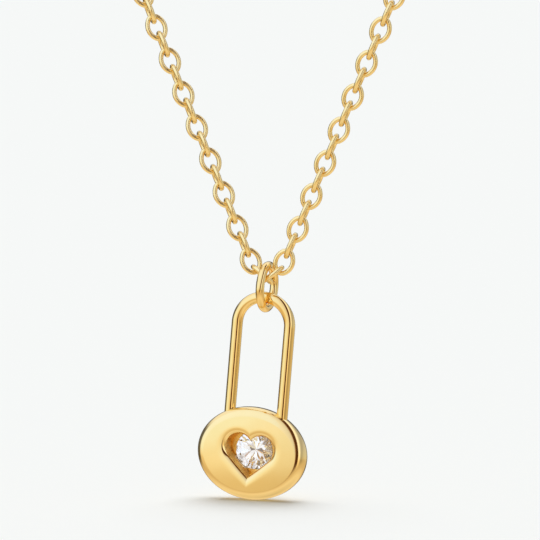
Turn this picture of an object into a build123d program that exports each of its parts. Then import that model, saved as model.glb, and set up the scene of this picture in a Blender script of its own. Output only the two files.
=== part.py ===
from build123d import *
from math import acos, atan2, ceil, cos, degrees, pi, radians, sin, sqrt, tan
import os

# A padlock pendant on a cable chain, in millimetres, +Z up.
# The origin is the centre of the clasp at the nape of the neck. X runs from the left half of
# the chain to the right one as seen from the front, and the front of the pendant faces -Y.

# The link: an oval of four arcs in round wire
link_wire = 0.50
link_length = 3.015
link_width = 2.32
link_end_radius = 0.66
link_clearance = 0.10

# The route of one half of the chain, from its lowest flat link up to the clasp
drop = 133.0
reach = 95.0
lowest_flat_offset = 1.854
arm_angle = 23.4
straight_run = 40.0
shoulder_point = (54.0, -36.5, -20.5)
shoulder_heading = (0.05, 0.88, 0.47)
route_handles = (37.7, 37.7, 22.0, 27.0)
route_samples = 400

# How far the flat links of each half are turned about the chain, in degrees
left_turn = 31.5
right_turn = 7.5

# Where the two lowest links lie: centres as shares of a link's centreline length, from the
# point midway between the lowest flat links, and the directions of their length and width
lowest_links = {
    "left": {
        "centre": (-0.270, 0.091, -0.557),
        "heading": (0.771, 0.083, -0.631),
        "across": (0.295, -0.925, 0.239),
    },
    "right": {
        "centre": (0.245, -0.087, -0.530),
        "heading": (-0.773, -0.240, -0.587),
        "across": (0.279, -0.960, 0.026),
    },
}

# The clasp
clasp_wire = 0.7
clasp_diameter = 5.5

# The jump ring
ring_wire = 0.90
ring_diameter = 5.4
ring_below_flats = 2.67
ring_offset = -0.04
ring_lean = 3.0

# The shackle
shackle_wire = 1.18
shackle_spacing = 5.86
shackle_rise = 16.63
socket_depth = 1.3
socket_gap = 0.03

# The case, whose front is gently domed
case_width = 12.1
case_height = 9.85
case_thickness = 2.45
case_dome_radius = 60.0
front_rounding = 1.05
back_rounding = 0.9
shackle_behind_front = 1.5

# The heart window, at the front face and at its floor
heart_rise = 0.6
heart_depth = 1.97
window_rim = 0.3
heart_sizes = {
    "rim": {"lobe": 1.83, "spread": 1.26, "tip": 3.62},
    "face": {"lobe": 1.53, "spread": 1.26, "tip": 3.22},
    "floor": {"lobe": 1.33, "spread": 1.165, "tip": 2.85},
}

# The round stone, a brilliant, and the collet that holds it from behind
stone_diameter = 4.0
stone_rise = 0.25
stone_girdle_depth = 1.88
stone_girdle = 0.08
stone_table = 0.60
stone_crown_angle = 27.0
stone_pavilion_angle = 44.5
stone_fit = 0.05
plate_depth = 1.33
collet_gap = 0.04
collet_seat = 0.33
collet_proud = 1.5
collet_opening = 1.0

# How the pendant hangs
lock_lean = 5.0
bow_contact_angle = 9.6
hang_gap = 0.08


def unit(vector):
    return Vector(*vector).normalized()


def half_oval():
    """The radius of a link's long sides and the half angle that they span."""
    half_length = (link_length - link_wire) / 2
    half_width = (link_width - link_wire) / 2
    end_centre = half_length - link_end_radius
    side = (half_width**2 + end_centre**2 - link_end_radius**2) / (2 * (half_width - link_end_radius))
    return half_length, half_width, side, atan2(end_centre, side - half_width)


def bent_wire(radius, wire_diameter, centre, start_angle, sweep_angle):
    """A length of round wire bent about a centre in the XY plane, as a part of a torus."""
    start = Plane.XZ * Pos(radius, 0) * Circle(wire_diameter / 2)
    bend = revolve(start, Axis.Z, sweep_angle)
    return Pos(*centre) * Rot(0, 0, start_angle) * bend


def make_link():
    """A link about the origin, its length along Y and its hole along Z."""
    half_length, half_width, side, half_angle = half_oval()
    span = degrees(half_angle)
    end_centre = half_length - link_end_radius
    side_centre = side - half_width
    return Part() + [
        bent_wire(side, link_wire, (-side_centre, 0, 0), -span, 2 * span),
        bent_wire(link_end_radius, link_wire, (0, end_centre, 0), span, 180 - 2 * span),
        bent_wire(side, link_wire, (side_centre, 0, 0), 180 - span, 2 * span),
        bent_wire(link_end_radius, link_wire, (0, -end_centre, 0), 180 + span, 180 - 2 * span),
    ]


def bezier(points, t):
    a, b, c, d = points
    s = 1 - t
    return a * s**3 + b * (3 * s * s * t) + c * (3 * s * t * t) + d * t**3


def last_link_place():
    """The distance from the clasp's centre to the centre of the link that hooks it."""
    clasp_centreline = (clasp_diameter - clasp_wire) / 2
    hooked = clasp_centreline - (clasp_wire + link_wire) / 2 - link_clearance
    return hooked + (link_length - link_wire) / 2


def route_points():
    """Points along the right half's route: a straight arm, then two bends round the neck."""
    arm = Vector(sin(radians(arm_angle)), 0, cos(radians(arm_angle)))
    start = Vector(lowest_flat_offset, -reach, -drop)
    arm_end = start + arm * straight_run
    shoulder = Vector(*shoulder_point)
    heading = unit(shoulder_heading)
    finish = Vector(last_link_place(), 0, 0)
    leave_arm, reach_shoulder, leave_shoulder, reach_nape = route_handles
    front_bend = (arm_end, arm_end + arm * leave_arm, shoulder - heading * reach_shoulder, shoulder)
    back_bend = (shoulder, shoulder + heading * leave_shoulder, finish + Vector(reach_nape, 0, 0), finish)
    steps = [step / route_samples for step in range(1, route_samples + 1)]
    points = [start, arm_end]
    points += [bezier(front_bend, t) for t in steps]
    points += [bezier(back_bend, t) for t in steps]
    return points


def link_places():
    """The centre and heading of each link of the right half, at one pitch along the route."""
    points = route_points()
    lengths = [0.0]
    for before, after in zip(points, points[1:]):
        lengths.append(lengths[-1] + (after - before).length)
    pitch = link_length - 2 * link_wire - link_clearance
    count = ceil(lengths[-1] / pitch)
    spacing = lengths[-1] / count
    places = []
    segment = 0
    for number in range(count + 1):
        along = min(number * spacing, lengths[-1])
        while segment < len(points) - 2 and lengths[segment + 1] < along:
            segment += 1
        before, after = points[segment], points[segment + 1]
        share = (along - lengths[segment]) / (lengths[segment + 1] - lengths[segment])
        places.append((before + (after - before) * share, (after - before).normalized()))
    return places, spacing


def turned(vector, axis, angle):
    """A vector turned about a unit axis that is square to it."""
    return vector * cos(angle) + axis.cross(vector) * sin(angle)


def chain_half(side, turn):
    """One half of the chain; side is 1 on the right and -1 on the left."""
    places, spacing = link_places()
    places = [(Vector(c.X * side, c.Y, c.Z), Vector(h.X * side, h.Y, h.Z)) for c, h in places]
    front = Vector(0, -1, 0)
    normals = []
    normal = turned(front, places[0][1], radians(turn))
    for centre, heading in places:
        normal = (normal - heading * normal.dot(heading)).normalized()
        normals.append(normal)
    # The last link lies level, so the twist that is left over is spread over the hidden links
    last = len(places) - 1
    heading = places[last][1]
    facing = turned(normals[last], heading, radians(90 * (last % 2)))
    slack = atan2(heading.dot(facing.cross(Vector(0, 0, 1))), facing.dot(Vector(0, 0, 1)))
    slack = (slack + pi / 2) % pi - pi / 2
    first_hidden = int(straight_run / spacing)
    link = make_link()
    links = []
    for number, (centre, heading) in enumerate(places):
        spread = max(0, number - first_hidden) / (last - first_hidden)
        normal = turned(normals[number], heading, radians(90 * (number % 2)) + slack * spread)
        links.append(Plane(centre, x_dir=heading.cross(normal), z_dir=normal).location * link)
    return links


def lowest_link(place):
    """One of the two links that meet at the bottom of the chain, inside the jump ring."""
    size = link_length - link_wire
    flats = Vector(0, -reach, -drop)
    centre = flats + Vector(*place["centre"]) * size
    heading = unit(place["heading"])
    across = Vector(*place["across"])
    across = (across - heading * across.dot(heading)).normalized()
    return Plane(centre, x_dir=across, z_dir=across.cross(heading)).location * make_link()


def make_chain(side, turn, lowest):
    links = chain_half(side, turn) + [lowest_link(lowest)]
    return Compound([link.solid() for link in links])


def make_clasp():
    centreline = (clasp_diameter - clasp_wire) / 2
    return Rot(90, 0, 0) * Torus(centreline, clasp_wire / 2)


def ring_centre():
    return Vector(ring_offset, -reach, -drop - ring_below_flats)


def make_jump_ring():
    centreline = (ring_diameter - ring_wire) / 2
    ring = Rot(0, ring_lean, 0) * Rot(0, 90, 0) * Torus(centreline, ring_wire / 2)
    return Pos(*ring_centre()) * ring


def hang_point():
    """The shackle's centreline where it lies in the jump ring."""
    centreline = (ring_diameter - ring_wire) / 2
    lean = radians(ring_lean)
    ring_bottom = ring_centre() - Vector(sin(lean), 0, cos(lean)) * centreline
    lift = (ring_wire + shackle_wire) / 2 + hang_gap
    contact = radians(bow_contact_angle)
    return ring_bottom + Vector(sin(contact), 0, cos(contact)) * lift


def place_lock(piece):
    """Puts a piece of the lock, made about the case's centre, where it hangs."""
    bow_radius = shackle_spacing / 2
    contact = radians(bow_contact_angle)
    bow_centre = hang_point() - Vector(sin(contact), 0, cos(contact)) * bow_radius
    lean = radians(lock_lean)
    below = shackle_rise - bow_radius
    centre = bow_centre - Vector(sin(lean), 0, cos(lean)) * below
    return Pos(*centre) * Rot(0, lock_lean, 0) * piece


def case_top_at(x):
    """The height of the case's oval edge at a distance from its middle."""
    return case_height / 2 * sqrt(1 - (x / (case_width / 2)) ** 2)


def leg_foot():
    return case_top_at(shackle_spacing / 2) - socket_depth


def make_shackle():
    bow_radius = shackle_spacing / 2
    bow_height = shackle_rise - bow_radius
    foot = leg_foot()
    section = Circle(shackle_wire / 2)
    bow = Pos(0, 0, bow_height) * Rot(90, 0, 0) * bent_wire(bow_radius, shackle_wire, (0, 0, 0), 0, 180)
    legs = [Pos(x, 0, foot) * extrude(section, bow_height - foot) for x in (-bow_radius, bow_radius)]
    return place_lock(Part() + [bow] + legs)


def heart(size):
    """The outline of the heart about the point midway between its two lobes."""
    lobe, spread, tip = size["lobe"], size["spread"], size["tip"]
    cleft = sqrt(lobe**2 - spread**2)
    reach_tip = sqrt(spread**2 + tip**2)
    flank = atan2(-tip, -spread) + acos(lobe / reach_tip)
    touch = (spread + lobe * cos(flank), lobe * sin(flank))
    below_outer = (spread + lobe * cos(flank / 2), lobe * sin(flank / 2))
    outer = (spread + lobe, 0)
    right = Curve() + [
        ThreePointArc((0, cleft), (spread, lobe), outer),
        ThreePointArc(outer, below_outer, touch),
        Line(touch, (0, -tip)),
    ]
    return make_face(right + mirror(right, Plane.YZ))


def front_to_back(sketch, depth):
    """A sketch laid in the XZ plane of the lock at a depth behind the case's front."""
    return Pos(0, depth - shackle_behind_front, 0) * Rot(90, 0, 0) * sketch


def bore(radius, start, end, rise):
    """A round solid along Y between two depths behind the case's front."""
    disc = front_to_back(Pos(0, rise) * Circle(radius), end)
    return extrude(disc, end - start, dir=(0, -1, 0))


def make_case():
    oval = front_to_back(Ellipse(case_width / 2, case_height / 2), case_thickness)
    body = extrude(oval, case_thickness, dir=(0, -1, 0))
    dome = Pos(0, case_dome_radius - shackle_behind_front, 0) * Sphere(case_dome_radius)
    body = body & dome
    front_edges = body.edges().group_by(Axis.Y)[0]
    body = fillet(front_edges, front_rounding)
    back_edges = body.edges().group_by(Axis.Y)[-1]
    body = fillet(back_edges, back_rounding)
    hearts = {name: Pos(0, heart_rise) * heart(size) for name, size in heart_sizes.items()}
    pocket = loft([front_to_back(hearts["face"], 0), front_to_back(hearts["floor"], heart_depth)], ruled=True)
    rim = loft([front_to_back(hearts["rim"], -0.02), front_to_back(hearts["face"], window_rim)], ruled=True)
    body -= pocket
    body -= rim
    body -= bore(stone_diameter / 2 + stone_fit, plate_depth, case_thickness, stone_rise)
    for x in (-shackle_spacing / 2, shackle_spacing / 2):
        socket = extrude(Circle(shackle_wire / 2 + socket_gap), case_height)
        body -= Pos(x, 0, leg_foot() - socket_gap) * socket
    return place_lock(body)


def facet(polar, around, distance):
    """A cutting plane square to a direction at a distance from the stone's centre."""
    p, a = radians(polar), radians(around)
    normal = Vector(sin(p) * cos(a), sin(p) * sin(a), cos(p))
    return Plane(origin=normal * distance, z_dir=normal)


def make_stone():
    """A brilliant about Z, its table up, cut from a round blank facet by facet."""
    radius = stone_diameter / 2
    crown = radius * (1 - stone_table) * tan(radians(stone_crown_angle))
    pavilion = radius * tan(radians(stone_pavilion_angle))
    blank = Pos(0, 0, (crown - pavilion) / 2) * Cylinder(radius, crown + pavilion + stone_girdle)
    half = stone_girdle / 2
    star_angle = stone_crown_angle * 0.62
    half_angle = stone_crown_angle * 1.22
    lower_angle = stone_pavilion_angle * 1.02
    star_corner = radius * stone_table
    cuts = []
    for step in range(8):
        main = 45 * step
        star = main + 22.5
        cuts.append((stone_crown_angle, main, radius, half))
        cuts.append((star_angle, star, star_corner * cos(radians(22.5)), half + crown))
        cuts.append((180 - stone_pavilion_angle, main, radius, -half))
        for side in (-11.25, 11.25):
            cuts.append((half_angle, main + side, radius, half))
            cuts.append((180 - lower_angle, main + side, radius, -half))
    stone = blank
    for polar, around, at_radius, at_height in cuts:
        p = radians(polar)
        distance = sin(p) * at_radius + cos(p) * at_height
        stone = split(stone, bisect_by=facet(polar, around, distance), keep=Keep.BOTTOM)
    upright = Rot(90, 0, 0) * stone
    return place_lock(Pos(0, stone_girdle_depth - shackle_behind_front, stone_rise) * upright)


def make_setting():
    """The collet: a round cup behind the stone, open at the back."""
    radius = stone_diameter / 2
    start = stone_girdle_depth + stone_girdle / 2 + collet_seat
    end = case_thickness + collet_proud
    outer = bore(radius + stone_fit - collet_gap / 2, start, end, stone_rise)
    slope = tan(radians(stone_pavilion_angle))
    corners = 1 / cos(radians(22.5))
    mouth = (radius - collet_seat / slope) * corners + collet_gap
    cone_depth = (mouth - collet_opening) * slope / corners
    cone = Cone(mouth, collet_opening, cone_depth)
    cone = Pos(0, start + cone_depth / 2 - shackle_behind_front, stone_rise) * Rot(-90, 0, 0) * cone
    collet = outer - cone - bore(collet_opening, start, end, stone_rise)
    return place_lock(collet)


def write(name, shape):
    shape.label = name
    export_step(shape, os.path.join("parts", name + ".step"))
    solids = shape.solids()
    print(name, len(solids), "solids,", round(sum(s.volume for s in solids), 3), "mm3")


os.makedirs("parts", exist_ok=True)
write("chain_left", make_chain(-1, left_turn, lowest_links["left"]))
write("chain_right", make_chain(1, right_turn, lowest_links["right"]))
write("clasp", make_clasp())
write("jump_ring", make_jump_ring())
write("shackle", make_shackle())
write("case", make_case())
write("stone", make_stone())
write("setting", make_setting())
print("hang point", hang_point(), "links a side", len(link_places()[0]), "pitch", link_places()[1])
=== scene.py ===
import math

import bmesh
import bpy
from mathutils import Matrix, Vector


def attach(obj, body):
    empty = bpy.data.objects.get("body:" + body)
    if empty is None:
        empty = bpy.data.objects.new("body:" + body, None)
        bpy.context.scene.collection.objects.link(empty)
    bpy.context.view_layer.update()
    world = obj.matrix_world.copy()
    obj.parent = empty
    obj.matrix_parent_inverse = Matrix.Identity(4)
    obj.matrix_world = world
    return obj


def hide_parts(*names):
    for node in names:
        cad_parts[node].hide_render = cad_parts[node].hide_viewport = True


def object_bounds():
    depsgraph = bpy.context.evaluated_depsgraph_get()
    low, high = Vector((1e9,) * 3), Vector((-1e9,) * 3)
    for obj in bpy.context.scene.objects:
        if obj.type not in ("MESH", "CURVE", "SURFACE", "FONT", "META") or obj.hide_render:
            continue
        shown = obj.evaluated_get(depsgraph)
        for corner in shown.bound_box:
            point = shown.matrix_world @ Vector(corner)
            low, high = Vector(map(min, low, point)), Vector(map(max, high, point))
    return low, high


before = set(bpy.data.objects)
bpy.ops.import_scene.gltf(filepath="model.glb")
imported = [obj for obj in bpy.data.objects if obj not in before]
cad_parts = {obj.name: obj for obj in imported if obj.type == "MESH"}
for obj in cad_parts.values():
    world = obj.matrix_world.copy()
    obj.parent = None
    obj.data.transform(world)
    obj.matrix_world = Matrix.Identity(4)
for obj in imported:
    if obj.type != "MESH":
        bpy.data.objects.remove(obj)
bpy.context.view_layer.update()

# Sizes are in millimetres and angles in degrees, as the solids have them
MM = 0.001

# The cable chain's oval links
LINK_WIRE = 0.50
LINK_LENGTH = 3.015
LINK_WIDTH = 2.32
LINK_END_RADIUS = 0.66
LINK_CLEARANCE = 0.10
# The way each half takes from the bottom of the V over the shoulder to the nape
DROP = 133.0
REACH = 95.0
LOWEST_FLAT_OFFSET = 1.854
ARM_ANGLE = 23.4
STRAIGHT_RUN = 40.0
SHOULDER_POINT = (54.0, -36.5, -20.5)
SHOULDER_HEADING = (0.05, 0.88, 0.47)
BEND_HANDLES = {"leave_arm": 37.7, "reach_shoulder": 37.7, "leave_shoulder": 22.0, "reach_nape": 27.0}
ROUTE_SAMPLES = 400
# How far the flat links of each arm are turned from facing the front
LEFT_TURN = 31.5
RIGHT_TURN = 7.5
# The two links that meet in the ring: centres in lengths of a link's centreline, and directions
LOWEST_LINKS = {
    "left": {
        "centre": (-0.270, 0.091, -0.557),
        "heading": (0.771, 0.083, -0.631),
        "across": (0.295, -0.925, 0.239),
    },
    "right": {
        "centre": (0.245, -0.087, -0.530),
        "heading": (-0.773, -0.240, -0.587),
        "across": (0.279, -0.960, 0.026),
    },
}
# The rings and the shackle
CLASP_WIRE = 0.7
CLASP_DIAMETER = 5.5
RING_WIRE = 0.90
RING_DIAMETER = 5.4
RING_BELOW_FLATS = 2.67
RING_OFFSET = -0.04
RING_LEAN = 3.0
SHACKLE_WIRE = 1.18
SHACKLE_SPACING = 5.86
SHACKLE_RISE = 16.63
SOCKET_DEPTH = 1.3
# The lock's case
CASE_WIDTH = 12.1
CASE_HEIGHT = 9.85
CASE_THICKNESS = 2.45
CASE_DOME_RADIUS = 60.0
# The buffed front edge: a faint bevel that starts at its first inset, ended by a round corner
FRONT_BEVEL = (
    {"inset": 0.95, "tilt": 0},
    {"inset": 0.86, "tilt": 9},
    {"inset": 0.60, "tilt": 20.3},
)
FRONT_CORNER = 0.92
BACK_ROUNDING = 0.9
SHACKLE_BEHIND_FRONT = 1.5
# The heart-shaped window: its edge is rounded, and buffing has rolled the face off towards it
HEART_RISE = 0.6
HEART_DEPTH = 1.97
# Behind this depth the stone's bore opens into the window's wall, where it is the wider of the two
PLATE_DEPTH = 1.33
WINDOW_RIM = 0.36
RIM_FLATNESS = 1.6
ROLL_OFF_WIDTH = 0.6
ROLL_OFF_DEPTH = 0.04
# Radius of the lobes, half the way between their middles and depth of the tip: at the outer edge
# of the rounding, and of the wall at the face and at the floor
HEART_SIZES = {
    "rim": {"lobe": 1.83, "spread": 1.26, "tip": 3.62},
    "face": {"lobe": 1.53, "spread": 1.26, "tip": 3.22},
    "floor": {"lobe": 1.33, "spread": 1.165, "tip": 2.85},
}
# The stone, its bore and the collet behind it
STONE_DIAMETER = 4.0
STONE_RISE = 0.25
STONE_GIRDLE_DEPTH = 1.88
STONE_GIRDLE = 0.08
STONE_PAVILION_ANGLE = 44.5
STONE_MAINS = 8
STONE_FIT = 0.05
BORE_RADIUS = STONE_DIAMETER / 2 + STONE_FIT
COLLET_GAP = 0.04
COLLET_SEAT = 0.33
COLLET_PROUD = 1.5
COLLET_OPENING = 1.0
COLLET_EDGE = 0.1
# How the lock hangs in the ring
LOCK_LEAN = 5.0
BOW_CONTACT_ANGLE = 9.6
HANG_GAP = 0.08

# How finely each piece is drawn; the links near the pendant are seen close and drawn finer
FINE_LINK = {"along": 48, "sides": 16}
PLAIN_LINK = {"along": 24, "sides": 8}
FINE_LINK_COUNT = 26
RING_STEPS = 144
THICK_WIRE_SIDES = 40
SHACKLE_STEPS = {"leg": 8, "bow": 72}
HEART_STEPS = {"lobe": 96, "flank": 40}
ROUNDING_STEPS = {"back": 6, "bevel": 6, "corner": 14, "rim": 10}
COLLET_STEPS = {"round": 96, "edge": 6}
# Where the rows of the face lie, in shares of the way from its edge to the window
FACE_ROWS = (0.06, 0.16, 0.3, 0.42, 0.54, 0.64, 0.73, 0.8, 0.86, 0.9, 0.94, 0.97, 1.0)
# How deep the rows of the pocket's wall lie
POCKET_ROWS = (0.5, 0.75, 1.0, PLATE_DEPTH)
# The height round which points of the heart and of the oval are matched
FACE_MIDDLE = HEART_RISE - 0.1
# How far behind the pocket's floor the bore's own row lies
BORE_STEP = 0.01
# Edges that turn more than this stay sharp
SHARP_ANGLE = 35

# The camera stands to the right of the lock's front and a little above it
CAMERA_AZIMUTH = 19.5
CAMERA_ELEVATION = 5.0
LENS = 300.0
SENSOR = 36.0
# The width of the picture, and how far its middle lies from the lowest flat links
FRAME_WIDTH = 56.84
AIM_RIGHT = 0.263
AIM_UP = -0.884


def placed(name, data):
    """A new object in the scene, at the origin, that holds a mesh, a curve, a camera or a lamp."""
    piece = bpy.data.objects.new(name, data)
    bpy.context.scene.collection.objects.link(piece)
    return piece


def direction_to(azimuth, elevation):
    """A direction from its compass angle from the lock's front and its height, in degrees."""
    a, e = math.radians(azimuth), math.radians(elevation)
    return Vector((math.sin(a) * math.cos(e), -math.cos(a) * math.cos(e), math.sin(e)))


def set_camera():
    back = direction_to(CAMERA_AZIMUTH, CAMERA_ELEVATION)
    right = direction_to(CAMERA_AZIMUTH + 90, 0)
    up = back.cross(right)
    data = bpy.data.cameras.new("camera")
    data.lens = LENS
    data.sensor_width = SENSOR
    data.clip_start = 0.01
    data.clip_end = 100
    camera = placed("camera", data)
    flats = Vector((0, -REACH, -DROP))
    aim = flats + right * AIM_RIGHT + up * AIM_UP
    distance = FRAME_WIDTH * LENS / SENSOR
    turn = Matrix((right, up, back)).transposed().to_4x4()
    camera.matrix_world = Matrix.Translation((aim + back * distance) * MM) @ turn
    bpy.context.scene.camera = camera


set_camera()


def linear(hex_colour):
    """A linear colour from an sRGB hex value."""
    channels = []
    for start in (1, 3, 5):
        value = int(hex_colour[start : start + 2], 16) / 255
        channels.append(value / 12.92 if value <= 0.04045 else ((value + 0.055) / 1.055) ** 2.4)
    return (*channels, 1.0)


def add_node(tree, kind, inputs=(), **settings):
    """Adds a node with its settings; inputs holds a value or an output for each socket."""
    node = tree.nodes.new(kind)
    for name, value in settings.items():
        setattr(node, name, value)
    for name, value in dict(inputs).items():
        if isinstance(value, bpy.types.NodeSocket):
            tree.links.new(value, node.inputs[name])
        else:
            node.inputs[name].default_value = value
    return node


def new_material(name):
    material = bpy.data.materials.new(name)
    material.use_nodes = True
    tree = material.node_tree
    tree.nodes.clear()
    shader = add_node(tree, "ShaderNodeBsdfPrincipled")
    add_node(tree, "ShaderNodeOutputMaterial", {"Surface": shader.outputs["BSDF"]})
    return material, tree, shader


# The tone drifts over many grains, the sheen varies by a share, and a mark is a share of a grain deep
TONE_GRAINS = 12
SHEEN_SPREAD = 0.25
MARK_DEPTH = 0.1


def plated_metal(name, pale, deep, roughness, grain_mm, scratch, stretch=(1, 1, 1)):
    """Plated metal whose tone, sheen and relief vary with the marks that its finishing left.

    Real polishing marks are a few hundredths of a millimetre wide. They are drawn at about a
    tenth, as fine as the picture can show.
    """
    material, tree, shader = new_material(name)
    place = add_node(tree, "ShaderNodeTexCoord").outputs["Object"]
    place = add_node(tree, "ShaderNodeMapping", {"Vector": place, "Scale": stretch}).outputs["Vector"]
    broad = add_node(
        tree,
        "ShaderNodeTexNoise",
        {"Vector": place, "Scale": 1 / (TONE_GRAINS * grain_mm * MM), "Detail": 2.0},
    ).outputs["Fac"]
    fine = add_node(
        tree,
        "ShaderNodeTexNoise",
        {"Vector": place, "Scale": 1 / (grain_mm * MM), "Detail": 4.0, "Roughness": 0.6},
    ).outputs["Fac"]
    # The mix node keeps one socket of each name for every kind of value, so colours go by place
    tone = add_node(
        tree,
        "ShaderNodeMix",
        {0: broad, 6: linear(pale), 7: linear(deep)},
        data_type="RGBA",
    )
    smoothest, roughest = roughness * (1 - SHEEN_SPREAD), roughness * (1 + SHEEN_SPREAD)
    sheen = add_node(
        tree,
        "ShaderNodeMapRange",
        {"Value": fine, "To Min": smoothest, "To Max": roughest},
    )
    relief = add_node(
        tree,
        "ShaderNodeBump",
        {"Height": fine, "Strength": scratch, "Distance": grain_mm * MM * MARK_DEPTH},
    )
    shader.inputs["Metallic"].default_value = 1.0
    tree.links.new(tone.outputs[2], shader.inputs["Base Color"])
    tree.links.new(sheen.outputs["Result"], shader.inputs["Roughness"])
    tree.links.new(relief.outputs["Normal"], shader.inputs["Normal"])
    return material


def clear_stone(name):
    """Cut and polished cubic zirconia: clear, with facets that flash white or dark."""
    material, tree, shader = new_material(name)
    shader.inputs["Base Color"].default_value = linear("#FBFBFD")
    shader.inputs["Roughness"].default_value = 0.0
    shader.inputs["IOR"].default_value = 2.15
    shader.inputs["Transmission Weight"].default_value = 1.0
    return material


# Drawn and soldered wire, tumbled in a barrel: an even, slightly soft shine on every link
chain_gold = plated_metal(
    "tumbled_gold_chain",
    pale="#FDEAB0",
    deep="#F7DB98",
    roughness=0.27,
    grain_mm=0.10,
    scratch=0.06,
)
# The ring's and shackle's thicker wire, drawn, bent and polished: a deeper, cleaner mirror
wire_gold = plated_metal(
    "polished_gold_wire",
    pale="#FBE1A0",
    deep="#F5D48C",
    roughness=0.07,
    grain_mm=0.10,
    scratch=0.04,
)
# The case and the collet, buffed on a wheel: a broad mirror with faint marks
buffed_gold = plated_metal(
    "buffed_gold_lock",
    pale="#FAE2A6",
    deep="#F7DC9A",
    roughness=0.09,
    grain_mm=0.12,
    scratch=0.05,
)
# The pocket's wall as the milling cutter left it, with marks from front to back; its deeper, oranger
# gold is painted shade of the recess
milled_and_shaded_gold = plated_metal(
    "milled_gold_pocket_painted_shade",
    pale="#F8CE78",
    deep="#E2AA4E",
    roughness=0.30,
    grain_mm=0.16,
    scratch=0.9,
    stretch=(1, 0.06, 1),
)
# The cup behind the stone, plated white inside: it keeps a clear stone from looking yellow
white_plate = plated_metal(
    "rhodium_plated_cup",
    pale="#FBF3E6",
    deep="#F4E9D8",
    roughness=0.12,
    grain_mm=0.10,
    scratch=0.05,
)
stone_clear = clear_stone("cut_zirconia")


def unit(vector):
    return Vector(vector).normalized()


def mesh_object(name, vertices, faces, materials, face_materials=None):
    """A smooth-shaded piece with its place in its mesh, from points in millimetres."""
    mesh = bpy.data.meshes.new(name)
    mesh.from_pydata([Vector(v) * MM for v in vertices], [], faces)
    for material in materials:
        mesh.materials.append(material)
    if face_materials:
        mesh.polygons.foreach_set("material_index", face_materials)
    shell = bmesh.new()
    shell.from_mesh(mesh)
    bmesh.ops.recalc_face_normals(shell, faces=shell.faces)
    shell.to_mesh(mesh)
    shell.free()
    mesh.shade_smooth()
    mesh.set_sharp_from_angle(angle=math.radians(SHARP_ANGLE))
    return placed(name, mesh)


def skin(rows, wrapped, capped=False):
    """Vertices and faces of a surface through closed rows of points."""
    count = len(rows[0])
    vertices = [point for row in rows for point in row]
    faces = []
    pairs = [(row, row + 1) for row in range(len(rows) - 1)]
    if wrapped:
        pairs.append((len(rows) - 1, 0))
    for low, high in pairs:
        for column in range(count):
            after = (column + 1) % count
            corners = ((low, column), (low, after), (high, after), (high, column))
            faces.append(tuple(row * count + place for row, place in corners))
    if capped:
        faces.append(tuple(range(count - 1, -1, -1)))
        faces.append(tuple((len(rows) - 1) * count + column for column in range(count)))
    return vertices, faces


def wire_rows(centreline, tangents, flat, diameter, sides):
    """Rows of points round a wire whose centreline lies in a plane square to flat."""
    rows = []
    for centre, tangent in zip(centreline, tangents):
        across = tangent.cross(flat)
        row = []
        for side in range(sides):
            angle = 2 * math.pi * side / sides
            row.append(centre + (across * math.cos(angle) + flat * math.sin(angle)) * diameter / 2)
        rows.append(row)
    return rows


def round_ring(name, diameter, wire, place, material):
    """A closed ring of round wire about the origin's X axis, put in its place."""
    radius = (diameter - wire) / 2
    centreline, tangents = [], []
    for step in range(RING_STEPS):
        angle = 2 * math.pi * step / RING_STEPS
        centreline.append(Vector((0, math.cos(angle), math.sin(angle))) * radius)
        tangents.append(Vector((0, -math.sin(angle), math.cos(angle))))
    rows = wire_rows(centreline, tangents, Vector((1, 0, 0)), wire, THICK_WIRE_SIDES)
    vertices, faces = skin(rows, wrapped=True)
    return mesh_object(name, [place @ v for v in vertices], faces, [material])


def bezier(points, t):
    a, b, c, d = points
    s = 1 - t
    return a * s**3 + b * (3 * s * s * t) + c * (3 * s * t * t) + d * t**3


def last_link_place():
    """The distance from the clasp's centre to the centre of the link that hooks it."""
    clasp_centreline = (CLASP_DIAMETER - CLASP_WIRE) / 2
    hooked = clasp_centreline - (CLASP_WIRE + LINK_WIRE) / 2 - LINK_CLEARANCE
    return hooked + (LINK_LENGTH - LINK_WIRE) / 2


def route_points():
    """Points along the right half's route: a straight arm, then two bends round the neck."""
    arm = Vector((math.sin(math.radians(ARM_ANGLE)), 0, math.cos(math.radians(ARM_ANGLE))))
    start = Vector((LOWEST_FLAT_OFFSET, -REACH, -DROP))
    arm_end = start + arm * STRAIGHT_RUN
    shoulder = Vector(SHOULDER_POINT)
    heading = unit(SHOULDER_HEADING)
    finish = Vector((last_link_place(), 0, 0))
    front_bend = (
        arm_end,
        arm_end + arm * BEND_HANDLES["leave_arm"],
        shoulder - heading * BEND_HANDLES["reach_shoulder"],
        shoulder,
    )
    back_bend = (
        shoulder,
        shoulder + heading * BEND_HANDLES["leave_shoulder"],
        finish + Vector((BEND_HANDLES["reach_nape"], 0, 0)),
        finish,
    )
    steps = [step / ROUTE_SAMPLES for step in range(1, ROUTE_SAMPLES + 1)]
    points = [start, arm_end]
    points += [bezier(front_bend, t) for t in steps]
    points += [bezier(back_bend, t) for t in steps]
    return points


def link_places():
    """The centre and heading of each link of the right half, at one pitch along the route."""
    points = route_points()
    lengths = [0.0]
    for before, after in zip(points, points[1:]):
        lengths.append(lengths[-1] + (after - before).length)
    pitch = LINK_LENGTH - 2 * LINK_WIRE - LINK_CLEARANCE
    count = math.ceil(lengths[-1] / pitch)
    spacing = lengths[-1] / count
    places = []
    segment = 0
    for number in range(count + 1):
        along = min(number * spacing, lengths[-1])
        while segment < len(points) - 2 and lengths[segment + 1] < along:
            segment += 1
        before, after = points[segment], points[segment + 1]
        share = (along - lengths[segment]) / (lengths[segment + 1] - lengths[segment])
        places.append((before + (after - before) * share, (after - before).normalized()))
    return places, spacing


def turned(vector, axis, angle):
    """A vector turned about a unit axis that is square to it."""
    return vector * math.cos(angle) + axis.cross(vector) * math.sin(angle)


def link_turn(across, heading, normal):
    return Matrix((across, heading, normal)).transposed()


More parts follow.
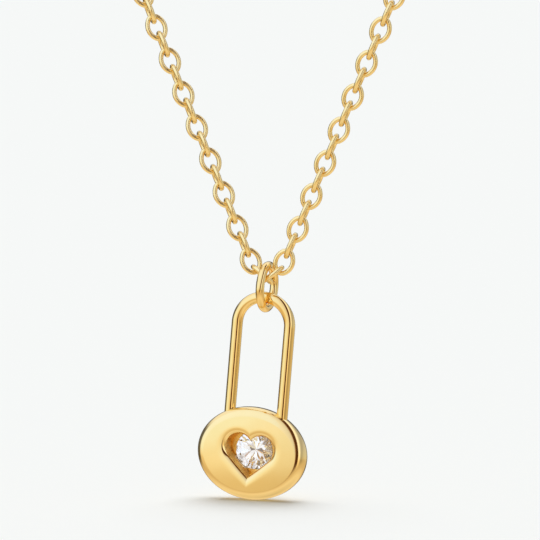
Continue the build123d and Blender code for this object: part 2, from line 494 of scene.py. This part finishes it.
def lowest_place(lowest):
    """The centre and turn of the link that meets its neighbour inside the ring."""
    centre = Vector((0, -REACH, -DROP)) + Vector(lowest["centre"]) * (LINK_LENGTH - LINK_WIRE)
    heading = unit(lowest["heading"])
    across = Vector(lowest["across"])
    across = (across - heading * across.dot(heading)).normalized()
    return centre, link_turn(across, heading, across.cross(heading))


def chain_places(side, turn, lowest):
    """The centre and turn of every link of one half, with the lowest link first."""
    places, spacing = link_places()
    for centre, heading in places:
        centre.x *= side
        heading.x *= side
    normal = turned(Vector((0, -1, 0)), places[0][1], math.radians(turn))
    normals = []
    for centre, heading in places:
        normal = (normal - heading * normal.dot(heading)).normalized()
        normals.append(normal)
    # The last link lies level, so the twist that is left over is spread over the hidden links
    last = len(places) - 1
    heading = places[last][1]
    up = Vector((0, 0, 1))
    facing = turned(normals[last], heading, math.radians(90 * (last % 2)))
    slack = math.atan2(heading.dot(facing.cross(up)), facing.dot(up))
    slack = (slack + math.pi / 2) % math.pi - math.pi / 2
    first_hidden = int(STRAIGHT_RUN / spacing)
    links = [lowest_place(lowest)]
    for number, (centre, heading) in enumerate(places):
        spread = max(0, number - first_hidden) / (last - first_hidden)
        angle = math.radians(90 * (number % 2)) + slack * spread
        normal = turned(normals[number], heading, angle)
        links.append((centre, link_turn(heading.cross(normal), heading, normal)))
    return links


def link_centreline(count):
    """Evenly spaced points on a link's centreline: an oval of four arcs, its length along Y."""
    half_length = (LINK_LENGTH - LINK_WIRE) / 2
    half_width = (LINK_WIDTH - LINK_WIRE) / 2
    end_centre = half_length - LINK_END_RADIUS
    side = half_width**2 + end_centre**2 - LINK_END_RADIUS**2
    side /= 2 * (half_width - LINK_END_RADIUS)
    side_centre = side - half_width
    span = math.atan2(end_centre, side_centre)
    arcs = (
        ((-side_centre, 0), side, -span, span),
        ((0, end_centre), LINK_END_RADIUS, span, math.pi - span),
        ((side_centre, 0), side, math.pi - span, math.pi + span),
        ((0, -end_centre), LINK_END_RADIUS, math.pi + span, 2 * math.pi - span),
    )
    total = sum(radius * (end - start) for _, radius, start, end in arcs)
    points = []
    for step in range(count):
        along = total * step / count
        for (x, y), radius, start, end in arcs:
            if along <= radius * (end - start):
                angle = start + along / radius
                points.append((x + radius * math.cos(angle), y + radius * math.sin(angle), 0))
                break
            along -= radius * (end - start)
    return points


def cable_link_tree():
    """Geometry Nodes that sweep a wire along a link's outline and set a link at each place."""
    tree = bpy.data.node_groups.new("cable_links", "GeometryNodeTree")
    sockets = (
        ("Places", "NodeSocketGeometry"),
        ("Link outline", "NodeSocketObject"),
        ("Wire diameter", "NodeSocketFloat"),
        ("Wire sides", "NodeSocketInt"),
        ("Finish", "NodeSocketMaterial"),
    )
    for name, kind in sockets:
        tree.interface.new_socket(name, in_out="INPUT", socket_type=kind)
    tree.interface.new_socket("Links", in_out="OUTPUT", socket_type="NodeSocketGeometry")
    given = add_node(tree, "NodeGroupInput").outputs
    outline = add_node(tree, "GeometryNodeObjectInfo", {"Object": given["Link outline"]})
    radius = add_node(tree, "ShaderNodeMath", {0: given["Wire diameter"], 1: 0.5}, operation="MULTIPLY")
    section = add_node(
        tree,
        "GeometryNodeCurvePrimitiveCircle",
        {"Resolution": given["Wire sides"], "Radius": radius.outputs[0]},
    )
    wire = add_node(
        tree,
        "GeometryNodeCurveToMesh",
        {"Curve": outline.outputs["Geometry"], "Profile Curve": section.outputs["Curve"]},
    )
    turn = add_node(tree, "GeometryNodeInputNamedAttribute", {"Name": "turn"}, data_type="QUATERNION")
    links = add_node(
        tree,
        "GeometryNodeInstanceOnPoints",
        {
            "Points": given["Places"],
            "Instance": wire.outputs["Mesh"],
            "Rotation": turn.outputs["Attribute"],
        },
    )
    solid = add_node(tree, "GeometryNodeRealizeInstances", {"Geometry": links.outputs["Instances"]})
    finished = add_node(
        tree,
        "GeometryNodeSetMaterial",
        {"Geometry": solid.outputs["Geometry"], "Material": given["Finish"]},
    )
    add_node(tree, "NodeGroupOutput", {"Links": finished.outputs["Geometry"]})
    return tree


def link_outline(count):
    """A link's centreline as a closed curve of straight steps."""
    curve = bpy.data.curves.new("link_outline", "CURVE")
    curve.dimensions = "3D"
    spline = curve.splines.new("POLY")
    spline.points.add(count - 1)
    for point, place in zip(spline.points, link_centreline(count)):
        point.co = (*[v * MM for v in place], 1)
    spline.use_cyclic_u = True
    return placed("link_outline", curve)


def linked_mesh(tree, places, detail, material):
    """The links at some places as one plain mesh."""
    mesh = bpy.data.meshes.new("link_places")
    mesh.from_pydata([centre * MM for centre, turn in places], [], [])
    turns = mesh.attributes.new("turn", "QUATERNION", "POINT")
    for entry, (centre, turn) in zip(turns.data, places):
        entry.value = turn.to_quaternion()
    holder = placed("link_places", mesh)
    outline = link_outline(detail["along"])
    modifier = holder.modifiers.new("links", "NODES")
    modifier.node_group = tree
    values = {
        "Link outline": outline,
        "Wire diameter": LINK_WIRE * MM,
        "Wire sides": detail["sides"],
        "Finish": material,
    }
    for socket in tree.interface.items_tree:
        if socket.name in values:
            modifier[socket.identifier] = values[socket.name]
    bpy.context.view_layer.update()
    graph = bpy.context.evaluated_depsgraph_get()
    links = bpy.data.meshes.new_from_object(holder.evaluated_get(graph))
    for helper in (holder, outline):
        bpy.data.objects.remove(helper)
    return links


def chain_half(name, side, turn, lowest, tree):
    """One half of the chain as one piece, its links near the pendant drawn finer."""
    places = chain_places(side, turn, LOWEST_LINKS[lowest])
    near, far = places[:FINE_LINK_COUNT], places[FINE_LINK_COUNT:]
    shell = bmesh.new()
    for part, detail in ((near, FINE_LINK), (far, PLAIN_LINK)):
        shell.from_mesh(linked_mesh(tree, part, detail, chain_gold))
    bmesh.ops.recalc_face_normals(shell, faces=shell.faces)
    mesh = bpy.data.meshes.new(name)
    shell.to_mesh(mesh)
    shell.free()
    mesh.shade_smooth()
    mesh.materials.clear()
    mesh.materials.append(chain_gold)
    return placed(name, mesh)


def ring_centre():
    return Vector((RING_OFFSET, -REACH, -DROP - RING_BELOW_FLATS))


def lock_place():
    """The matrix that takes the lock from the case's centre to where it hangs."""
    ring_radius = (RING_DIAMETER - RING_WIRE) / 2
    ring_lean = math.radians(RING_LEAN)
    contact = math.radians(BOW_CONTACT_ANGLE)
    lean = math.radians(LOCK_LEAN)
    bow_radius = SHACKLE_SPACING / 2
    lift = (RING_WIRE + SHACKLE_WIRE) / 2 + HANG_GAP
    up_bow = Vector((math.sin(contact), 0, math.cos(contact)))
    ring_bottom = ring_centre() - Vector((math.sin(ring_lean), 0, math.cos(ring_lean))) * ring_radius
    bow_centre = ring_bottom + up_bow * (lift - bow_radius)
    centre = bow_centre - Vector((math.sin(lean), 0, math.cos(lean))) * (SHACKLE_RISE - bow_radius)
    return Matrix.Translation(centre) @ Matrix.Rotation(lean, 4, "Y")


LOCK = lock_place()


def make_shackle():
    """The U of round wire, its legs down into the case's sockets."""
    bow_radius = SHACKLE_SPACING / 2
    bow_height = SHACKLE_RISE - bow_radius
    foot = CASE_HEIGHT / 2 * math.sqrt(1 - (bow_radius / (CASE_WIDTH / 2)) ** 2) - SOCKET_DEPTH
    leg_steps, bow_steps = SHACKLE_STEPS["leg"], SHACKLE_STEPS["bow"]
    centreline, tangents = [], []
    for step in range(leg_steps):
        centreline.append(Vector((bow_radius, 0, foot + (bow_height - foot) * step / leg_steps)))
        tangents.append(Vector((0, 0, 1)))
    for step in range(bow_steps + 1):
        angle = math.pi * step / bow_steps
        across, up = math.cos(angle), math.sin(angle)
        centreline.append(Vector((across * bow_radius, 0, bow_height + up * bow_radius)))
        tangents.append(Vector((-up, 0, across)))
    for step in range(leg_steps):
        drop = (bow_height - foot) * (step + 1) / leg_steps
        centreline.append(Vector((-bow_radius, 0, bow_height - drop)))
        tangents.append(Vector((0, 0, -1)))
    rows = wire_rows(centreline, tangents, Vector((0, 1, 0)), SHACKLE_WIRE, THICK_WIRE_SIDES)
    vertices, faces = skin(rows, wrapped=False, capped=True)
    return mesh_object("shackle_wire", [LOCK @ v for v in vertices], faces, [wire_gold])


def heart_outline(size):
    """The heart's outline from the cleft round the right side to the tip and back up."""
    lobe, spread, tip = size["lobe"], size["spread"], size["tip"]
    lobe_steps, flank_steps = HEART_STEPS["lobe"], HEART_STEPS["flank"]
    cleft_angle = math.acos(-spread / lobe)
    flank = math.atan2(-tip, -spread) + math.acos(lobe / math.hypot(spread, tip))
    right = []
    for step in range(lobe_steps):
        angle = cleft_angle + (flank - cleft_angle) * step / lobe_steps
        right.append((spread + lobe * math.cos(angle), lobe * math.sin(angle)))
    touch = (spread + lobe * math.cos(flank), lobe * math.sin(flank))
    for step in range(flank_steps):
        share = step / flank_steps
        right.append((touch[0] * (1 - share), touch[1] * (1 - share) - tip * share))
    left = [(-x, z) for x, z in right[:0:-1]]
    return [(x, z + HEART_RISE) for x, z in right + [(0, -tip)] + left]


def dome_depth(x, z):
    """How far the domed front lies behind its middle."""
    return CASE_DOME_RADIUS - math.sqrt(CASE_DOME_RADIUS**2 - x * x - z * z)


def polish_sag(gap):
    """How far the buffing wheel has rolled the front off towards the window's edge."""
    return ROLL_OFF_DEPTH * max(0.0, 1 - gap / ROLL_OFF_WIDTH) ** 2


def oval_point(angle, inset):
    """A point of the case's oval outline, moved inwards square to it."""
    a, b = CASE_WIDTH / 2, CASE_HEIGHT / 2
    x, z = a * math.cos(angle), b * math.sin(angle)
    normal = unit((math.cos(angle) / a, math.sin(angle) / b, 0))
    return x - normal.x * inset, z - normal.y * inset


def front_edge():
    """Insets from the oval and drops below the dome, from the side of the case to its face."""
    edge = [(FRONT_BEVEL[0]["inset"], 0.0)]
    steps = ROUNDING_STEPS["bevel"]
    for outer, inner in zip(FRONT_BEVEL, FRONT_BEVEL[1:]):
        for step in range(1, steps + 1):
            share = (step - 0.5) / steps
            tilt = math.radians(outer["tilt"] + (inner["tilt"] - outer["tilt"]) * share)
            run = (outer["inset"] - inner["inset"]) / steps
            inset, drop = edge[-1]
            edge.append((inset - run, drop + run * math.tan(tilt)))
    start = math.asin(1 - edge[-1][0] / FRONT_CORNER)
    inset, top = edge[-1]
    steps = ROUNDING_STEPS["corner"]
    for step in range(1, steps + 1):
        turn = start + (math.pi / 2 - start) * step / steps
        drop = top + FRONT_CORNER * (math.cos(start) - math.cos(turn))
        edge.append((FRONT_CORNER * (1 - math.sin(turn)), drop))
    return edge[::-1]


def between(first, second, share):
    """An outline at a share of the way from one to another."""
    return [(u + (x - u) * share, v + (z - v) * share) for (u, v), (x, z) in zip(first, second)]


def window_outlines():
    """The window's outlines, the bore's points across from them and their angles on the case."""
    hearts = {name: heart_outline(size) for name, size in HEART_SIZES.items()}
    angles, bores = [], []
    for x, z in hearts["rim"]:
        angles.append(math.atan2((z - FACE_MIDDLE) / CASE_HEIGHT, x / CASE_WIDTH))
    for x, z in hearts["floor"]:
        away = unit((x, z - STONE_RISE, 0)) * BORE_RADIUS
        bores.append((away.x, STONE_RISE + away.y))
    return hearts, bores, angles


def make_case():
    """The oval lock body as one closed skin, from the stone's bore round the outside and back."""
    finishes = [buffed_gold, milled_and_shaded_gold, white_plate]
    buffed, milled_and_shaded, white = range(len(finishes))
    hearts, bores, angles = window_outlines()
    count = len(bores)
    rows, marks = [], []

    def add(points, depths, finish=(buffed,) * count):
        row = zip(points, depths)
        rows.append([Vector((x, depth - SHACKLE_BEHIND_FRONT, z)) for (x, z), depth in row])
        marks.append(finish)

    def wall(depth):
        return between(hearts["face"], hearts["floor"], depth / HEART_DEPTH)

    # The back, from the bore outwards, and its rounded edge
    add(bores, [CASE_THICKNESS] * count, (white,) * count)
    back = [oval_point(angle, BACK_ROUNDING) for angle in angles]
    for share in (0.5, 1.0):
        add(between(bores, back, share), [CASE_THICKNESS] * count)
    steps = ROUNDING_STEPS["back"]
    for step in range(1, steps + 1):
        turn = math.pi / 2 * step / steps
        points = [oval_point(angle, BACK_ROUNDING * (1 - math.sin(turn))) for angle in angles]
        add(points, [CASE_THICKNESS - BACK_ROUNDING * (1 - math.cos(turn))] * count)
    # The front edge and the domed face
    for inset, drop in front_edge():
        points = [oval_point(angle, inset) for angle in angles]
        add(points, [dome_depth(x, z) + drop for x, z in points])
    face_edge = points
    for share in FACE_ROWS:
        points = between(face_edge, hearts["rim"], share)
        gaps = [math.dist(point, edge) for point, edge in zip(points, hearts["rim"])]
        add(points, [dome_depth(x, z) + polish_sag(gap) for (x, z), gap in zip(points, gaps)])
    # The window's rounded edge
    steps = ROUNDING_STEPS["rim"]
    for step in range(1, steps + 1):
        turn = math.pi / 2 * step / steps
        inwards = math.sin(turn) ** RIM_FLATNESS
        down = 1 - math.cos(turn) ** RIM_FLATNESS
        edges = [dome_depth(x, z) + polish_sag(0) for x, z in hearts["rim"]]
        depths = [edge + (WINDOW_RIM - edge) * down for edge in edges]
        add(between(hearts["rim"], wall(WINDOW_RIM), inwards), depths)
    # Only the pocket's left wall shows the cutter's marks and the painted shade of its deeper gold; the
    # right one is buffed with the front
    cut = [milled_and_shaded if x < 0 else buffed for x, z in hearts["face"]]
    for depth in POCKET_ROWS:
        add(wall(depth), [depth] * count, cut)
    # The pocket's floor, and the stone's bore where that is wider than the heart
    points, depths, below = [], [], []
    for (x, z), bore in zip(wall(HEART_DEPTH), bores):
        beyond = math.hypot(x, z - STONE_RISE) > BORE_RADIUS
        points.append((x, z) if beyond else bore)
        depths.append(HEART_DEPTH if beyond else PLATE_DEPTH)
        below.append(milled_and_shaded if beyond else white)
    add(points, depths, cut)
    add(bores, [HEART_DEPTH + BORE_STEP] * count, below)
    vertices, faces = skin(rows, wrapped=True)
    # Each row carries the finish of the strip of faces that leads to it
    face_materials = [mark for finish in marks[1:] + marks[:1] for mark in finish]
    return mesh_object("lock_case", [LOCK @ v for v in vertices], faces, finishes, face_materials)


def make_setting():
    """The collet behind the stone, turned on a lathe."""
    radius = STONE_DIAMETER / 2
    start = STONE_GIRDLE_DEPTH + STONE_GIRDLE / 2 + COLLET_SEAT
    end = CASE_THICKNESS + COLLET_PROUD
    outer = BORE_RADIUS - COLLET_GAP / 2
    slope = math.tan(math.radians(STONE_PAVILION_ANGLE))
    # The stone's facets meet in edges that stand out further than their middles
    corners = 1 / math.cos(math.pi / STONE_MAINS)
    mouth = (radius - COLLET_SEAT / slope) * corners + COLLET_GAP
    cone_depth = (mouth - COLLET_OPENING) * slope / corners
    edge = COLLET_EDGE
    profile = [
        (mouth, start),
        (COLLET_OPENING, start + cone_depth),
        (COLLET_OPENING, end - edge / 2),
        (COLLET_OPENING + edge / 2, end),
    ]
    for step in range(COLLET_STEPS["edge"] + 1):
        turn = math.pi / 2 * step / COLLET_STEPS["edge"]
        profile.append((outer - edge + edge * math.sin(turn), end - edge + edge * math.cos(turn)))
    profile.append((outer, start))
    rows = []
    for distance, depth in profile:
        row = []
        for step in range(COLLET_STEPS["round"]):
            angle = 2 * math.pi * step / COLLET_STEPS["round"]
            x, z = distance * math.cos(angle), distance * math.sin(angle)
            row.append(Vector((x, depth - SHACKLE_BEHIND_FRONT, z + STONE_RISE)))
        rows.append(row)
    vertices, faces = skin(rows, wrapped=True)
    # The cone, the bore behind it and the edge round the stone are the inside of the cup
    inside = (0, 1, len(rows) - 1)
    marks = [1 if row in inside else 0 for row in range(len(rows)) for column in rows[row]]
    finishes = [buffed_gold, white_plate]
    return mesh_object("stone_collet", [LOCK @ v for v in vertices], faces, finishes, marks)


link_tree = cable_link_tree()
chain_left = chain_half("left_cable_links", -1, LEFT_TURN, "left", link_tree)
chain_right = chain_half("right_cable_links", 1, RIGHT_TURN, "right", link_tree)
upright_ring = Matrix.Rotation(math.radians(90), 4, "Z")
clasp = round_ring("clasp_wire", CLASP_DIAMETER, CLASP_WIRE, upright_ring, chain_gold)
ring_place = Matrix.Translation(ring_centre()) @ Matrix.Rotation(math.radians(RING_LEAN), 4, "Y")
jump_ring = round_ring("jump_ring_wire", RING_DIAMETER, RING_WIRE, ring_place, wire_gold)
shackle = make_shackle()
case = make_case()
collet = make_setting()
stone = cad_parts["stone"]
stone.data.materials.clear()
stone.data.materials.append(stone_clear)

# The thin chain hangs too high above the sheet to leave a shadow on it
for piece in (chain_left, chain_right, clasp):
    piece.visible_shadow = False

# What each piece stands for, the body that it moves with and its finish; the stone is the solid
for piece, node, body, slot in (
    (chain_left, "chain_left", "chain", "chain_gold"),
    (chain_right, "chain_right", "chain", "chain_gold"),
    (clasp, "clasp", "chain", "chain_gold"),
    (jump_ring, "jump_ring", "ring", "ring_gold"),
    (shackle, "shackle", "lock", "lock_gold"),
    (case, "case", "lock", "lock_gold"),
    (collet, "setting", "lock", "lock_gold"),
):
    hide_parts(node)
    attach(piece, body)


# The sheet lies this far below the pendant, in millimetres, and reaches this far, in metres
FLOOR_GAP = 0.02
FLOOR_REACH = 8.0


def make_floor():
    """The pale sheet that the pendant just clears, laid out behind it to fill the picture."""
    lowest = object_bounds()[0].z - FLOOR_GAP * MM
    sides = ((-1, -1), (1, -1), (1, 1), (-1, 1))
    corners = [(x * FLOOR_REACH, y * FLOOR_REACH, lowest) for x, y in sides]
    mesh = bpy.data.meshes.new("floor")
    mesh.from_pydata(corners, [], [(0, 1, 2, 3)])
    floor = placed("floor", mesh)
    # Matt white card: even, with no shine
    material, tree, shader = new_material("matt_white_sheet")
    shader.inputs["Base Color"].default_value = linear("#F4F6F5")
    shader.inputs["Roughness"].default_value = 1.0
    shader.inputs["Specular IOR Level"].default_value = 0.0
    mesh.materials.append(material)
    floor.visible_glossy = False
    floor.visible_transmission = False


make_floor()


# The light on the sheet: an even room, and a broad light tilted back from straight overhead
ROOM_LIGHT = 0.24
OVERHEAD_STRENGTH = 2.625
OVERHEAD_SPREAD = 66.0
OVERHEAD_TILT = 21.0
OVERHEAD_TURN = 24.0
# The middle of the large soft light, high on the left, that the metal mirrors
KEY_LIGHT = {"azimuth": -46.0, "elevation": 37.0}
# Levels by the angle from that middle: the light and its soft edge, the dark gap beside it, a
# narrow light on the right, and the walls
STUDIO_ROUND_KEY = (
    (0, 1.42),
    (20, 1.40),
    (36, 1.35),
    (43.5, 1.30),
    (48, 1.08),
    (54, 0.99),
    (61, 0.92),
    (65.5, 0.80),
    (68.5, 0.55),
    (71.5, 0.10),
    (86, 0.10),
    (88.5, 0.80),
    (90, 1.35),
    (98, 1.30),
    (104, 0.95),
    (112, 0.55),
    (122, 0.52),
    (137, 0.70),
    (154, 0.80),
    (180, 0.80),
)
# Colours by the same angle: the soft light is cool, and the gap is a brown dark, as wood is
KEY_COLOUR = (
    (0, "#E8F2FF"),
    (43, "#E8F2FF"),
    (49, "#FFFFFF"),
    (66, "#FFFFFF"),
    (70, "#FFA860"),
    (86, "#FFA860"),
    (90, "#FFFFFF"),
    (180, "#FFFFFF"),
)
# The wall behind and on the left, by compass direction from the lock's front: unlit low down and
# bright higher up, where the light overhead falls on it
BACK_WALL = ((-180, 1.0), (-86, 1.0), (-70, 0.0), (163, 0.0), (174, 1.0), (180, 1.0))
BACK_WALL_LEVEL = ((-90, 0.14), (14, 0.14), (32, 1.10), (90, 1.15))
# The sheet under it all takes over below the horizon, with a dim band where it begins
FLOOR_SHARE = ((-90, 1.0), (-26, 1.0), (-13, 0.0), (90, 0.0))
FLOOR_LEVEL = ((-90, 0.74), (-65, 0.88), (-45, 0.97), (-35, 0.88), (-25, 0.74), (90, 0.74))
# The light's colour by height, from the warm sheet to the cool soft light
LIGHT_COLOUR = (
    (-90, "#FFEED0"),
    (-45, "#FFEED0"),
    (-24, "#FFE4B9"),
    (-13, "#EED9B2"),
    (-8.5, "#FBF2DC"),
    (-4, "#FBF9EE"),
    (1, "#FCFBF6"),
    (10, "#F8F8FC"),
    (30, "#F6F7FF"),
    (90, "#F6F7FF"),
)


def grey(level):
    return (level, level, level, 1)


def read_table(tree, angle, table):
    """The grey level or colour that a table gives for an angle in radians, with soft steps."""
    low, high = table[0][0], table[-1][0]
    spread = {"Value": angle, "From Min": math.radians(low), "From Max": math.radians(high)}
    place = add_node(tree, "ShaderNodeMapRange", spread).outputs["Result"]
    node = add_node(tree, "ShaderNodeValToRGB", {"Fac": place})
    node.color_ramp.interpolation = "EASE"
    elements = node.color_ramp.elements
    elements.remove(elements[-1])
    for number, (degrees, level) in enumerate(table):
        share = (degrees - low) / (high - low)
        element = elements.new(share) if number else elements[0]
        element.position = share
        element.color = linear(level) if isinstance(level, str) else grey(level)
    return node.outputs["Color"]


def studio_colour(tree, rays):
    """What a mirroring surface sees in each direction: the soft light, the walls and the sheet."""
    direction = add_node(tree, "ShaderNodeTexCoord").outputs["Generated"]
    axes = add_node(tree, "ShaderNodeSeparateXYZ", {"Vector": direction}).outputs
    ahead = add_node(tree, "ShaderNodeMath", {0: axes["Y"], 1: -1.0}, operation="MULTIPLY").outputs[0]
    compass = add_node(tree, "ShaderNodeMath", {0: axes["X"], 1: ahead}, operation="ARCTAN2").outputs[0]
    height = add_node(tree, "ShaderNodeMath", {0: axes["Z"]}, operation="ARCSINE").outputs[0]
    key = direction_to(**KEY_LIGHT)
    nearness = add_node(tree, "ShaderNodeVectorMath", {0: direction, 1: key}, operation="DOT_PRODUCT")
    nearness = nearness.outputs["Value"]
    from_key = add_node(tree, "ShaderNodeMath", {0: nearness}, operation="ARCCOSINE").outputs[0]
    levels = read_table(tree, from_key, STUDIO_ROUND_KEY)
    key_colour = read_table(tree, from_key, KEY_COLOUR)
    back = read_table(tree, compass, BACK_WALL)
    back_level = read_table(tree, height, BACK_WALL_LEVEL)
    floor_share = read_table(tree, height, FLOOR_SHARE)
    floor = read_table(tree, height, FLOOR_LEVEL)
    tint = read_table(tree, height, LIGHT_COLOUR)
    mix = {"data_type": "RGBA"}
    multiply = {"data_type": "RGBA", "blend_type": "MULTIPLY"}
    # What the stone lets through is seen against a neutral room, so it stays clear and white
    neutral = {0: rays["Is Transmission Ray"], 6: tint, 7: grey(1.0)}
    tint = add_node(tree, "ShaderNodeMix", neutral, **mix).outputs[2]
    front = add_node(tree, "ShaderNodeMix", {0: 1.0, 6: levels, 7: key_colour}, **multiply).outputs[2]
    walls = add_node(tree, "ShaderNodeMix", {0: back, 6: front, 7: back_level}, **mix).outputs[2]
    room = add_node(tree, "ShaderNodeMix", {0: floor_share, 6: walls, 7: floor}, **mix).outputs[2]
    return add_node(tree, "ShaderNodeMix", {0: 1.0, 6: room, 7: tint}, **multiply).outputs[2]


def set_world():
    """The studio for what mirrors it, and a plain even room for the sheet and the picture."""
    world = bpy.data.worlds.new("studio")
    bpy.context.scene.world = world
    world.use_nodes = True
    # The room is found by the rays that the surfaces send out, so that each kind sees its own part
    world.cycles.sampling_method = "NONE"
    tree = world.node_tree
    tree.nodes.clear()
    rays = add_node(tree, "ShaderNodeLightPath").outputs
    studio = studio_colour(tree, rays)
    plain = add_node(
        tree,
        "ShaderNodeMath",
        {0: rays["Is Diffuse Ray"], 1: rays["Is Camera Ray"]},
        operation="MAXIMUM",
    )
    mirrored = add_node(tree, "ShaderNodeBackground", {"Color": studio, "Strength": 1.0})
    lit = add_node(tree, "ShaderNodeBackground", {"Color": grey(1.0), "Strength": ROOM_LIGHT})
    either = add_node(
        tree,
        "ShaderNodeMixShader",
        {0: plain.outputs[0], 1: mirrored.outputs["Background"], 2: lit.outputs["Background"]},
    )
    add_node(tree, "ShaderNodeOutputWorld", {"Surface": either.outputs["Shader"]})


def set_overhead_light():
    """The broad soft light above and behind, which throws the short shadow to the front."""
    data = bpy.data.lights.new("overhead", "SUN")
    data.energy = OVERHEAD_STRENGTH
    data.angle = math.radians(OVERHEAD_SPREAD)
    light = placed("overhead", data)
    turn = Matrix.Rotation(math.radians(OVERHEAD_TURN), 4, "Z")
    light.matrix_world = turn @ Matrix.Rotation(math.radians(-OVERHEAD_TILT), 4, "X")
    light.visible_glossy = False
    light.visible_transmission = False


set_world()
set_overhead_light()

# Light goes to and fro in the cut stone and its cup this many times before it comes out again
STONE_BOUNCES = 20
for kind in ("glossy_bounces", "transmission_bounces", "max_bounces"):
    setattr(bpy.context.scene.cycles, kind, STONE_BOUNCES)
bpy.context.scene.view_settings.view_transform = "Standard"
